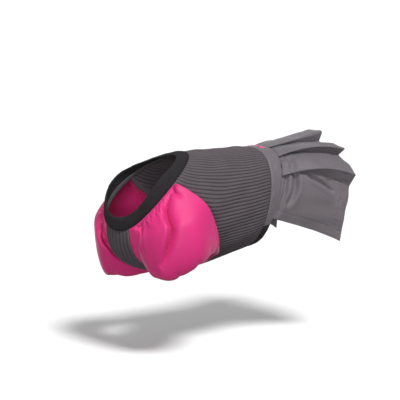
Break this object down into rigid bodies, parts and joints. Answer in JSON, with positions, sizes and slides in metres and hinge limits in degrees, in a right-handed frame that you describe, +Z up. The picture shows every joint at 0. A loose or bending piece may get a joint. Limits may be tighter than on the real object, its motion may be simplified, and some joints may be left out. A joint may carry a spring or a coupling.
{
  "type": "dog dress",
  "caption": "Small dog's dress: ribbed knit bodice with a bound neck, gathered puff sleeves, a woven waistband over the back and a short pleated skirt over the rump.",
  "frame": {"origin": "on the inner face of the bodice over the spine, where the garment rests on the dog's back", "axes": "+X from the neck towards the tail, +Z up, so the dog's left side is -Y"},
  "size_m": [0.268, 0.1589, 0.1447],
  "materials": {
    "body_knit": "matt ribbed knit",
    "neck_knit": "matt ribbed knit, doubled over",
    "belly_knit": "matt elastic knit",
    "grey_weave": "smooth fine weave",
    "pink_weave": "smooth fine weave with a soft sheen"
  },
  "bodies": {
    "root": {"bodice": "body_knit", "neckband": "neck_knit", "sleeve_left": "pink_weave", "sleeve_right": "pink_weave", "waistband": "grey_weave", "belly_band": "belly_knit", "skirt": "grey_weave"}
  },
  "joints": []
}
